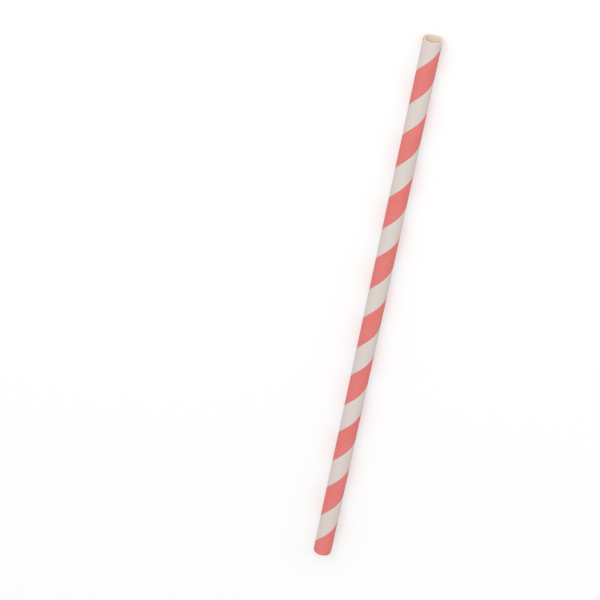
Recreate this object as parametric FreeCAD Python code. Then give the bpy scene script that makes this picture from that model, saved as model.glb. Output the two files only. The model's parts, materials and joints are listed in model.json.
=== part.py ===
"""Paper drinking straw: one tube of glued paper, wound in a right-hand spiral from narrow strips.

The straw lies along X, as it comes to rest on a table. Its mouth faces +X, +Z is up, and the origin is
under its middle, on the surface that it lies on. It is modelled standing on Z, mouth up, and then laid.
The outer strip of each turn butts against the next, which leaves a fine spiral seam round the outside.
The lining strip has a seam of its own in the bore, half a turn away, so the wall is never cut through.
The side that it lies on is flattened a little, as a paper tube comes to be, so it lies still.
"""

import FreeCAD, Part
import math
import os

# Driving dimensions, in millimetres and degrees
length = 197.0
outer_diameter = 6.0
wall = 0.45
winding_angle = 50.3     # rise of the strips' edges, from a ring square to the axis
printed_ply = 0.10       # thickness of the outer strip, and so the depth of its seam
lining_ply = 0.15        # thickness of the strip that lines the bore
seam_gap = 0.20          # open width of a seam at the surface, square to the strips' edges
edge_lean = 15.0         # how far the strips' edges lean back, so that a seam narrows to its floor
seam_stagger = 180.0     # how far round the lining's seam lies from the outer one
rim_radius = 0.08        # softening of the cut edges at both ends
mouth_seam = 294.0       # where the outer seam meets the mouth, turned from the top, right-handed about +X
lying_flat = 0.08        # how much the side that it lies on is flattened, less than the outer strip's thickness

# Sizes that follow from them
outer_radius = outer_diameter / 2
bore_radius = outer_radius - wall
lead = math.pi * outer_diameter * math.tan(math.radians(winding_angle))
seam_height = seam_gap / math.cos(math.radians(winding_angle))
seam_slope = math.tan(math.radians(edge_lean)) / math.cos(math.radians(winding_angle))

# The tube is made of courses, each just under one turn of the winding and all alike but for the rims
courses = max(2, math.ceil(length / lead))
course_height = length / courses
course_turn = 360 * course_height / lead

centre = FreeCAD.Vector(0, 0, 0)
up = FreeCAD.Vector(0, 0, 1)
along_y = FreeCAD.Vector(0, 1, 0)


def seam(face, ply, into, facing):
    """The spiral space of a seam, cut into a face of the wall through one ply, outwards (1) or inwards (-1).

    At the middle height of a course it faces the given way.
    """
    run_out = lead / 8
    overcut = wall / 2
    floor = face + into * ply
    mouth = face - into * overcut
    floor_half = seam_height / 2 - ply * seam_slope
    mouth_half = seam_height / 2 + overcut * seam_slope
    section = Part.makePolygon([
        FreeCAD.Vector(floor, 0, -floor_half),
        FreeCAD.Vector(mouth, 0, -mouth_half),
        FreeCAD.Vector(mouth, 0, mouth_half),
        FreeCAD.Vector(floor, 0, floor_half),
        FreeCAD.Vector(floor, 0, -floor_half),
    ])
    path = Part.Wire(Part.makeHelix(lead, course_height + 2 * run_out, (floor + mouth) / 2))
    space = path.makePipeShell([section], True, True)
    space.translate(up * -run_out)
    space.rotate(centre, up, facing - course_turn / 2 - 360 * run_out / lead)
    return space


def end_edges(tube, height):
    """The circles at one end of a length of tube."""
    return [edge for edge in tube.Edges
            if edge.Curve.TypeId == "Part::GeomCircle" and abs(edge.CenterOfMass.z - height) < 1e-6]


def course(rim_heights, seams):
    """One course of the wall, with a softened rim at each given height and the seams cut into it."""
    bore = Part.makeCylinder(bore_radius, course_height)
    bore.rotate(centre, up, seam_stagger)
    tube = Part.makeCylinder(outer_radius, course_height).cut(bore).Solids[0]
    for height in rim_heights:
        tube = tube.makeFillet(rim_radius, end_edges(tube, height))
    for space in seams:
        tube = tube.cut(space)
    return tube


def standing_straw():
    """All the courses, stacked along the screw of the winding and joined into one wall."""
    closeness = seam_gap / 200
    seams = [
        seam(outer_radius, printed_ply, -1, 0),
        seam(bore_radius, lining_ply, 1, seam_stagger),
    ]
    foot = course([0], seams)
    middle = course([], seams)
    mouth = course([course_height], seams)
    stack = []
    for number, piece in enumerate([foot] + [middle] * (courses - 2) + [mouth]):
        piece = piece.copy()
        piece.rotate(centre, up, number * course_turn)
        piece.translate(up * (number * course_height))
        stack.append(piece)
    return stack[0].multiFuse(stack[1:], closeness).Solids[0]


def laid_straw():
    """The straw on its side, mouth to +X, turned so that the seam meets the mouth where it should.

    What would reach below the surface that it lies on is taken off, which leaves the flattened side.
    """
    straw = standing_straw()
    seam_at_mouth = (courses - 0.5) * course_turn
    straw.rotate(centre, up, 180 + mouth_seam - seam_at_mouth)
    straw.rotate(centre, along_y, 90)
    straw.translate(FreeCAD.Vector(-length / 2, 0, outer_radius - lying_flat))
    corner = FreeCAD.Vector(-length / 2, -outer_radius, -lying_flat)
    pressed_off = Part.makeBox(length, outer_diameter, lying_flat, corner)
    return straw.cut(pressed_off).Solids[0]


os.makedirs("parts", exist_ok=True)
laid_straw().exportStep("parts/straw.step")
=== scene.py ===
import json
import math

import bmesh
import bpy
from mathutils import Matrix, Vector, noise


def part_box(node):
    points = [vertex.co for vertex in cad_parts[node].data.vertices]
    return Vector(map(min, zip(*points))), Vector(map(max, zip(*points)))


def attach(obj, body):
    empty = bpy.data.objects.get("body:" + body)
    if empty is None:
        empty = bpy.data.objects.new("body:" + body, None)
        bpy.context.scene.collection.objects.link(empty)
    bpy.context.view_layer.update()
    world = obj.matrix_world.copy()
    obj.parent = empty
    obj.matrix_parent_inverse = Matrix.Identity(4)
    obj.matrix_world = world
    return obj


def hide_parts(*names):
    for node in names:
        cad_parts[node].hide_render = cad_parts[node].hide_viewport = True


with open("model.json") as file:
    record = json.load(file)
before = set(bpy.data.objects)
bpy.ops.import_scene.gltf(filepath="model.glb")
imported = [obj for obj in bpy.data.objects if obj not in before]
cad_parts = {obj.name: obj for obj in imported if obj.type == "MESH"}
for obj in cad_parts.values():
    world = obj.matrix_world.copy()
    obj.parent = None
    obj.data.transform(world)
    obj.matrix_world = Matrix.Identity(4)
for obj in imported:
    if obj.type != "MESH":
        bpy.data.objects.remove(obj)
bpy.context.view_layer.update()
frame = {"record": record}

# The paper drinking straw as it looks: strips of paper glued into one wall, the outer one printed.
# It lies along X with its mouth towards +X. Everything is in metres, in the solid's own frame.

mm = 0.001

# What the solid says
low, high = (Vector(corner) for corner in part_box("straw"))
mounts = {mount["name"]: mount for mount in frame["record"]["mounts"]}
length = high.x - low.x
mouth_x = high.x
outer_radius = mounts["outside"]["dims"]["r_mm"] * mm
bore_radius = mounts["bore"]["dims"]["r_mm"] * mm
axis = Vector(mounts["bore"]["pos_m"])

# The winding, as the solid's source has it
winding_angle = math.radians(50.3)
printed_ply = 0.10 * mm
lining_ply = 0.15 * mm
seam_gap = 0.20 * mm
edge_lean = math.radians(15)
seam_stagger = math.radians(180)
rim_radius = 0.08 * mm
mouth_seam = math.radians(294)

lead = 2 * math.pi * outer_radius * math.tan(winding_angle)
strip_width = lead * math.cos(winding_angle)
seam_height = seam_gap / math.cos(winding_angle)
seam_slope = math.tan(edge_lean) / math.cos(winding_angle)
under_print = outer_radius - printed_ply
under_lining = bore_radius + lining_ply

# How finely the wall is modelled
stretches_per_turn = 96
paper_stretches = 22
edge_softness = 0.03 * mm
edge_stretches = 3
rim_stretches = 4
weld = 0.002 * mm
close_weld = weld / 20       # for what is already in its exact place
crease = math.radians(40)    # edges sharper than this show as edges

# What gluing and cutting leave
edge_wander = 0.05 * mm      # how far a strip's edge strays from its line
edge_pressed = 0.02 * mm     # how deep it is pressed in places
unevenness = 0.012 * mm      # of the whole wall
glue_line = 0.015 * mm       # depth of the line between two plies at a cut end
cut_roughness = 0.02 * mm

# Over how many millimetres each of them changes
wander_size = 4.8
small_wander_size = 1.1
pressed_size = 7.7
uneven_size = 5.0
rough_size = 0.35


def strip_section(face, floor):
    """One lead of a wall in section, from the middle of a seam to the next: height, radius, paper edge, sunk.

    The paper edge is 1 where the strip starts, -1 where it ends and 0 between. Sunk is 1 on the seam's floor.
    """
    inwards = math.copysign(1, floor - face)
    shoulder = seam_height / 2 + edge_softness
    start = [(0, floor, 0, 1), (seam_height / 2 - abs(floor - face) * seam_slope, floor, 1, 1)]
    for step in range(edge_stretches + 1):
        turn = math.pi / 2 * step / edge_stretches
        height = shoulder - edge_softness * math.cos(turn)
        radius = face + inwards * edge_softness * (1 - math.sin(turn))
        start.append((height, radius, 1, 0))
    paper = lead - 2 * shoulder
    between = [(shoulder + paper * step / paper_stretches, face, 0, 0) for step in range(1, paper_stretches)]
    end = [(lead - height, radius, -edge, sunk) for height, radius, edge, sunk in reversed(start)]
    return start + between + end


def wind(mesh, section, facing):
    """Winds a section round the axis as a right-hand spiral that reaches past both ends of the straw."""
    paper_edge = mesh.verts.layers.float.new("paper edge")
    sunk = mesh.verts.layers.float.new("sunk")
    turns = math.ceil(length / lead) + 1
    foot = mouth_x - turns * lead
    turned = Matrix.Rotation(facing, 4, "X")
    drawn = []
    for height, radius, edge, depth in section:
        corner = mesh.verts.new(axis + turned @ Vector((foot + height, 0, radius)))
        corner[paper_edge] = edge
        corner[sunk] = depth
        drawn.append(corner)
    drawn += [mesh.edges.new(pair) for pair in zip(drawn, drawn[1:])]
    bmesh.ops.spin(mesh, geom=drawn, cent=axis, axis=(1, 0, 0), angle=2 * math.pi,
                   steps=stretches_per_turn, dvec=(lead / stretches_per_turn, 0, 0))
    one_turn = mesh.verts[:] + mesh.edges[:] + mesh.faces[:]
    for turn in range(1, turns):
        again = bmesh.ops.duplicate(mesh, geom=one_turn)["geom"]
        corners = [part for part in again if isinstance(part, bmesh.types.BMVert)]
        bmesh.ops.translate(mesh, verts=corners, vec=(turn * lead, 0, 0))
    bmesh.ops.remove_doubles(mesh, verts=mesh.verts, dist=weld)


def from_axis(point):
    """How far a point is from the straw's axis."""
    return math.hypot(point.y - axis.y, point.z - axis.z)


def set_from_axis(vertex, radius):
    """Moves a vertex straight out or in, to a radius."""
    scale = radius / from_axis(vertex.co)
    vertex.co.y = axis.y + (vertex.co.y - axis.y) * scale
    vertex.co.z = axis.z + (vertex.co.z - axis.z) * scale


def drift(place, size):
    """A smooth irregular value about 0.5, from 0 to 1, that changes over the given size in millimetres."""
    return 0.5 + 0.5 * noise.noise(place / (size * mm))


def loosen(mesh, inwards):
    """Gives a wound wall what gluing leaves: edges that stray and are pressed in, and an uneven surface."""
    paper_edge = mesh.verts.layers.float["paper edge"]
    sunk = mesh.verts.layers.float["sunk"]
    for vertex in mesh.verts:
        place = vertex.co.copy()
        edge = vertex[paper_edge]
        stray = 2 * drift(place, wander_size) + drift(place, small_wander_size) - 1.5
        vertex.co.x += edge * edge_wander * stray
        if not vertex[sunk]:
            other_place = place + Vector((0, edge * length, 0))
            pressed = abs(edge) * edge_pressed * drift(other_place, pressed_size)
            depth = unevenness * drift(place, uneven_size) + pressed
            set_from_axis(vertex, from_axis(vertex.co) + inwards * depth)


def strip_map(mesh, radius, facing):
    """Maps each face in millimetres along its strip and across it, from the middle of its first seam."""
    layer = mesh.loops.layers.uv.new("strip")
    for face in mesh.faces:
        middle = face.calc_center_median() - axis
        middle_angle = math.atan2(-middle.y, middle.z)
        turn = math.floor((middle.x - mouth_x) / lead - (middle_angle - facing) / (2 * math.pi))
        for corner in face.loops:
            point = corner.vert.co - axis
            angle = math.atan2(-point.y, point.z)
            angle += 2 * math.pi * round((middle_angle - angle) / (2 * math.pi))
            share = (point.x - mouth_x) / lead - (angle - facing) / (2 * math.pi) - turn
            wound_on = radius * (angle + 2 * math.pi * turn)
            along = wound_on / math.cos(winding_angle) + share * lead * math.sin(winding_angle)
            corner[layer].uv = (along / mm, share * strip_width / mm)


def cut_ends(mesh, reach):
    """Cuts a wound wall square at both ends, at the given distance from the straw's middle."""
    for way in (-1, 1):
        everything = mesh.verts[:] + mesh.edges[:] + mesh.faces[:]
        bmesh.ops.bisect_plane(mesh, geom=everything, dist=close_weld, plane_co=(way * reach, 0, 0),
                               plane_no=(way, 0, 0), clear_outer=True)


def end_ring(mesh, way):
    """The open edges at one end of a wall."""
    return [edge for edge in mesh.edges if edge.is_boundary and edge.verts[0].co.x * way > 0]


def carry(mesh, ring, way, sunk_in, radius, deeper):
    """Carries an open end on to a radius, sunk in from the straw's end, but for what already lies deeper."""
    made = bmesh.ops.extrude_edge_only(mesh, edges=ring)["geom"]
    for vertex in (part for part in made if isinstance(part, bmesh.types.BMVert)):
        set_from_axis(vertex, deeper(radius, from_axis(vertex.co)))
        vertex.co.x = way * (length / 2 - sunk_in)
        vertex.co.x -= way * cut_roughness * drift(vertex.co, rough_size)
    return [part for part in made if isinstance(part, bmesh.types.BMEdge)]


def soften_rim(mesh, way, face, inwards, cut_rings):
    """Rounds one rim of a wall and carries it on over the given rings of the cut end."""
    ring = end_ring(mesh, way)
    deeper = max if inwards > 0 else min
    rings = []
    for step in range(1, rim_stretches + 1):
        turn = math.pi / 2 * step / rim_stretches
        rings.append((rim_radius * (1 - math.sin(turn)), face + inwards * rim_radius * (1 - math.cos(turn))))
    for sunk_in, radius in rings + cut_rings:
        ring = carry(mesh, ring, way, sunk_in, radius, deeper)


def wound_wall(face, floor, facing, cut_rings):
    """One side of the straw's wall, wound, loosened, mapped, cut and with its rims softened."""
    inwards = math.copysign(1, floor - face)
    mesh = bmesh.new()
    wind(mesh, strip_section(face, floor), facing)
    loosen(mesh, inwards)
    strip_map(mesh, face, facing)
    cut_ends(mesh, length / 2 - rim_radius)
    for way in (-1, 1):
        soften_rim(mesh, way, face, inwards, cut_rings)
    return mesh


def flatten_side(mesh):
    """Presses the side that the straw lies on flat, as far up as the solid's own."""
    for vertex in mesh.verts:
        vertex.co.z = max(vertex.co.z, low.z)


# The straw's finishes, in their order on it
on_print, on_cut, on_lining = range(3)
cut_share_of_rim = 0.7       # how much of a rim's rounding shows cut paper


def give_finishes(mesh):
    """Gives every face its finish: the printed paper, cut or bare paper, or the lining."""
    sunk = mesh.verts.layers.float["sunk"]
    cut_from = length / 2 - rim_radius * cut_share_of_rim
    halfway = (outer_radius + bore_radius) / 2
    for face in mesh.faces:
        middle = face.calc_center_median()
        if abs(middle.x) > cut_from or any(vertex[sunk] > 0.5 for vertex in face.verts):
            face.material_index = on_cut
        else:
            face.material_index = on_print if from_axis(middle) > halfway else on_lining


def make_straw():
    """The whole straw: its outside and its bore, closed at both ends by the cut edge of the paper."""
    outer_cut = [(0, under_print + glue_line), (glue_line, under_print), (0, under_print - glue_line)]
    bore_cut = [(0, under_lining - glue_line), (glue_line, under_lining)]
    outside = wound_wall(outer_radius, under_print, mouth_seam, outer_cut)
    bore = wound_wall(bore_radius, under_lining, mouth_seam + seam_stagger, bore_cut)
    spare = bpy.data.meshes.new("bore_side")
    bore.to_mesh(spare)
    bore.free()
    outside.from_mesh(spare)
    bpy.data.meshes.remove(spare)
    for way in (-1, 1):
        bmesh.ops.bridge_loops(outside, edges=end_ring(outside, way))
    bmesh.ops.remove_doubles(outside, verts=outside.verts, dist=close_weld)
    flatten_side(outside)
    bmesh.ops.recalc_face_normals(outside, faces=outside.faces)
    give_finishes(outside)
    data = bpy.data.meshes.new("striped_straw")
    outside.to_mesh(data)
    outside.free()
    data.shade_smooth()
    data.set_sharp_from_angle(angle=crease)
    for finish in (printed_paper(), cut_paper(), lining_paper()):
        data.materials.append(finish)
    straw = bpy.data.objects.new("striped_straw", data)
    bpy.context.collection.objects.link(straw)
    return straw


class Value:
    """What a node gives, on which sums are written as on a number."""

    def __init__(self, nodes, socket):
        self.nodes = nodes
        self.socket = socket

    def __add__(self, other):
        return self.nodes.reckon("ADD", self, other)

    def __radd__(self, other):
        return self.nodes.reckon("ADD", other, self)

    def __sub__(self, other):
        return self.nodes.reckon("SUBTRACT", self, other)

    def __rsub__(self, other):
        return self.nodes.reckon("SUBTRACT", other, self)

    def __mul__(self, other):
        return self.nodes.reckon("MULTIPLY", self, other)

    def __rmul__(self, other):
        return self.nodes.reckon("MULTIPLY", other, self)

    def __truediv__(self, other):
        return self.nodes.reckon("DIVIDE", self, other)

    def __abs__(self):
        return self.nodes.reckon("ABSOLUTE", self)


class Nodes:
    """A tree of nodes, and the few ways in which it grows."""

    def __init__(self, tree):
        self.tree = tree

    def give(self, socket, value):
        """Sets a socket to a number or a colour, or links a value to it."""
        if isinstance(value, Value):
            self.tree.links.new(value.socket, socket)
        else:
            socket.default_value = value

    def node(self, kind, settings, inputs, output=0):
        """Makes a node, sets it up, gives its sockets their values and returns one of its outputs."""
        made = self.tree.nodes.new(kind)
        for setting, value in settings.items():
            setattr(made, setting, value)
        for socket, value in inputs.items():
            self.give(made.inputs[socket], value)
        return Value(self, made.outputs[output])

    def reckon(self, operation, *values):
        """A sum on one or two values."""
        return self.node("ShaderNodeMath", {"operation": operation}, dict(enumerate(values)))

    def mix(self, share, first, second):
        """A colour between two."""
        return self.node("ShaderNodeMix", {"data_type": "RGBA"}, {0: share, 6: first, 7: second}, output=2)

    def step(self, value, start, end):
        """Rises smoothly from 0 to 1 as the value goes from start to end."""
        return self.node("ShaderNodeMapRange", {"interpolation_type": "SMOOTHSTEP"},
                         {"Value": value, "From Min": start, "From Max": end})

    def place(self, x, y):
        """A place from two values."""
        return self.node("ShaderNodeCombineXYZ", {}, {0: x, 1: y})

    def parts(self, vector):
        """The three values of a place."""
        return [self.node("ShaderNodeSeparateXYZ", {}, {0: vector}, output=number) for number in range(3)]

    def grain(self, place, scale=1.0, detail=2.0, roughness=0.5):
        """Soft irregular noise from 0 to 1."""
        return self.node("ShaderNodeTexNoise", {}, {"Vector": place, "Scale": scale, "Detail": detail,
                                                    "Roughness": roughness})

    def relief(self, height, depth, over=None):
        """A relief of the given depth in metres, over another one if there is one."""
        inputs = {"Height": height, "Distance": depth}
        if over is not None:
            inputs["Normal"] = over
        return self.node("ShaderNodeBump", {}, inputs)


class Finish(Nodes):
    """A material whose look is worked out with nodes, on one shader."""

    def __init__(self, name, constants):
        self.material = bpy.data.materials.new(name)
        self.material.use_nodes = True
        super().__init__(self.material.node_tree)
        self.shader = self.tree.nodes["Principled BSDF"]
        for socket, value in constants.items():
            self.look(socket, value)

    def look(self, socket, value):
        """Feeds one socket of the shader."""
        self.give(self.shader.inputs[socket], value)


def ink(red, green, blue):
    """A colour as a screen shows it, 0 to 255, as the shader wants it."""
    shown = [part / 255 for part in (red, green, blue)]
    return [part / 12.92 if part <= 0.04045 else ((part + 0.055) / 1.055) ** 2.4 for part in shown] + [1.0]


coral = ink(244, 138, 133)
deep_coral = ink(232, 117, 112)
white_paper = ink(236, 224, 218)
grey_paper = ink(228, 214, 207)
lining_white = ink(252, 238, 224)
lining_shade = ink(247, 229, 211)
glue_tan = ink(196, 176, 150)

# The print on the outer strip, in millimetres across it from the middle of its seam
band_start = seam_gap / mm / 2 + 0.01    # the paper's own edge, beside the seam
band_end = 0.525 * strip_width / mm
start_wander = 0.06
end_wander = 0.10
start_blur = 0.02
end_blur = 0.03
ridge = 0.09                             # how far inside its free edge the ink was squeezed thicker
ridge_top = 0.02                         # how far to each side of that it is thickest

# What shows of the strip beneath, in millimetres across the outer one
under_seam = 0.36 * strip_width / mm
under_seam_reach = 0.45

# How deep each relief is
fibre_relief = 0.012 * mm
under_seam_relief = 0.02 * mm
lining_relief = 0.015 * mm
fuzz_relief = 0.02 * mm

# The cut ends
fuzz_scale = 9000.0
glue_reach = 0.035                       # how far the tan of the glue reaches from its line, in millimetres
glue_core = 0.008
glue_wander = 0.02


def strip_places(finish):
    """Where a point lies on its strip, in millimetres along it and across it."""
    along, across, _ = finish.parts(finish.node("ShaderNodeUVMap", {"uv_map": "strip"}, {}))
    return along, across


def paper_fibres(finish, along, across):
    """Fine fibres that lie mostly along the strip, and the coarser clouds between them."""
    fine = finish.grain(finish.place(along * 1.6, across * 7.0), detail=3.0, roughness=0.6)
    coarse = finish.grain(finish.place(along * 0.5, across * 1.6))
    return fine, coarse


def printed_paper():
    """White paper with a coral band printed along half of it."""
    finish = Finish("printed_paper", {"Specular IOR Level": 0.35})
    along, across = strip_places(finish)
    fine, coarse = paper_fibres(finish, along, across)

    # The band, its two wandering edges and the thicker ink along the free one
    stray = finish.grain(finish.place(along * 1.1, across * 1.1), detail=3.0, roughness=0.6) - 0.5
    inside = band_end - across + stray * end_wander
    started = finish.step(across + stray * start_wander, band_start - start_blur, band_start + start_blur)
    printed = finish.step(inside, -end_blur, end_blur) * started
    squeezed = finish.step(abs(inside - ridge), ridge, ridge_top) * printed

    # The ink lies unevenly, with pinholes where it missed the paper
    cloud = finish.step(finish.grain(finish.place(along * 0.06, across * 0.25)), 0.35, 0.65)
    density = 0.25 * cloud + 0.40 * coarse + 0.35 * fine + 0.35 * squeezed - 0.1
    inked = finish.mix(density, coral, deep_coral)
    paper = finish.mix(0.6 * coarse + 0.4 * fine, white_paper, grey_paper)
    pinholes = finish.step(finish.grain(finish.place(along * 2.3, across * 2.9), detail=1.0), 0.79, 0.83)
    cover = printed * (1.0 - 0.6 * pinholes)
    finish.look("Base Color", finish.mix(cover, paper, inked))
    finish.look("Roughness", 0.80 - 0.20 * printed + 0.08 * fine)

    # The paper dips a little over the seam of the strip beneath
    fibres = finish.relief(0.6 * fine + 0.4 * coarse, fibre_relief)
    dip = finish.step(abs(across - under_seam), 0.0, under_seam_reach)
    finish.look("Normal", finish.relief(dip, under_seam_relief, fibres))
    return finish.material


def cut_paper():
    """The cut ends, where the plies and the glue between them show, and the bare paper in the seams."""
    finish = Finish("cut_paper", {"Specular IOR Level": 0.2})
    place = finish.node("ShaderNodeTexCoord", {}, {}, output="Object")
    _, y, z = finish.parts(place)
    rise = z - axis.z
    radius = finish.reckon("SQRT", y * y + rise * rise) / mm
    fuzz = finish.grain(place, scale=fuzz_scale, detail=3.0, roughness=0.6)
    line = 0.0
    for glued in (under_print, under_lining):
        off_line = abs(radius - glued / mm + glue_wander * (fuzz - 0.5))
        line = finish.step(off_line, glue_reach, glue_core) + line
    paper = finish.mix(fuzz, white_paper, lining_shade)
    finish.look("Base Color", finish.mix(0.75 * line, paper, glue_tan))
    finish.look("Roughness", 0.85 + 0.1 * fuzz)
    finish.look("Normal", finish.relief(fuzz, fuzz_relief))
    return finish.material


def lining_paper():
    """The cream-white unprinted strip inside."""
    finish = Finish("lining_paper", {"Specular IOR Level": 0.25})
    along, across = strip_places(finish)
    fine, coarse = paper_fibres(finish, along, across)
    finish.look("Base Color", finish.mix(0.5 * coarse + 0.5 * fine, lining_white, lining_shade))
    finish.look("Roughness", 0.80 + 0.10 * fine)
    finish.look("Normal", finish.relief(0.6 * fine + 0.4 * coarse, lining_relief))
    return finish.material


# The table and the light
table_reach = 3.0            # from its middle to its edges
table_grey = ink(224, 224, 224)
table_glow = 0.34            # for the camera alone, so that it sees the table as white
room_light = 0.56            # on the straw and the table, while the camera sees the room as white


def lay_floor():
    """A plain pale table top, which the camera sees as white but for the straw's soft shadow."""
    mesh = bmesh.new()
    bmesh.ops.create_grid(mesh, x_segments=1, y_segments=1, size=table_reach)
    data = bpy.data.meshes.new("table_top")
    mesh.to_mesh(data)
    mesh.free()
    finish = Finish("pale_table", {"Base Color": table_grey, "Roughness": 0.9, "Specular IOR Level": 0.1,
                                   "Emission Strength": table_glow})
    seen = finish.node("ShaderNodeLightPath", {}, {}, output="Is Camera Ray")
    finish.look("Emission Color", finish.mix(seen, (0, 0, 0, 1), (1, 1, 1, 1)))
    data.materials.append(finish.material)
    floor = bpy.data.objects.new("table_top", data)
    bpy.context.collection.objects.link(floor)


def light_room():
    """Soft light all round, and two large lamps beyond the mouth, the weaker one at the picture's right."""
    world = bpy.data.worlds.new("room")
    world.use_nodes = True
    bpy.context.scene.world = world
    room = Nodes(world.node_tree)
    seen = room.node("ShaderNodeLightPath", {}, {}, output="Is Camera Ray")
    mirrored = room.node("ShaderNodeLightPath", {}, {}, output="Is Glossy Ray")
    background = room.tree.nodes["Background"]
    background.inputs["Color"].default_value = (1, 1, 1, 1)
    white = room.reckon("MAXIMUM", seen, mirrored)
    room.give(background.inputs["Strength"], (1 - room_light) * white + room_light)
    lamp("soft_key", (1.32, 0.60, 1.40), 1.6, 17.7)
    lamp("soft_fill", (1.40, -0.88, 1.00), 1.6, 6.7)


def lamp(name, place, size, watts):
    """A square lamp that shines at the straw."""
    data = bpy.data.lights.new(name, "AREA")
    data.size = size
    data.energy = watts
    made = bpy.data.objects.new(name, data)
    made.location = place
    made.rotation_euler = (-Vector(place)).to_track_quat("-Z", "Y").to_euler()
    bpy.context.collection.objects.link(made)


# The camera, as the photograph's stands to the straw that was built
picture_width = 600
camera_height_angle = math.radians(57.5)
lean = math.radians(11.3)
mouth_distance = 0.90
pixels_per_metre = 3319.0    # at the mouth
mouth_pixel = (433.1, 38.8)
sensor_width = 36


def place_camera():
    """A camera above the mouth's end, which sees the mouth at its pixel and the straw leaning right."""
    back = Vector((math.cos(camera_height_angle), 0, math.sin(camera_height_angle)))
    straight_up = Vector((math.sin(camera_height_angle), 0, -math.cos(camera_height_angle)))
    straight_right = Vector((0, -1, 0))
    right = straight_right * math.cos(lean) + straight_up * math.sin(lean)
    up = straight_up * math.cos(lean) - straight_right * math.sin(lean)
    middle = picture_width / 2
    aside = (mouth_pixel[0] - middle) / pixels_per_metre
    above = (middle - mouth_pixel[1]) / pixels_per_metre
    mouth = Vector((mouth_x, axis.y, axis.z))
    place = mouth + back * mouth_distance - right * aside - up * above
    data = bpy.data.cameras.new("camera")
    data.sensor_width = sensor_width
    data.lens = pixels_per_metre * mouth_distance * sensor_width / picture_width
    data.clip_start = 0.01
    camera = bpy.data.objects.new("camera", data)
    camera.matrix_world = Matrix.Translation(place) @ Matrix((right, up, back)).transposed().to_4x4()
    bpy.context.collection.objects.link(camera)
    bpy.context.scene.camera = camera


straw = make_straw()
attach(straw, "root")
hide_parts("straw")

lay_floor()
light_room()
place_camera()
bpy.context.scene.view_settings.view_transform = "Standard"
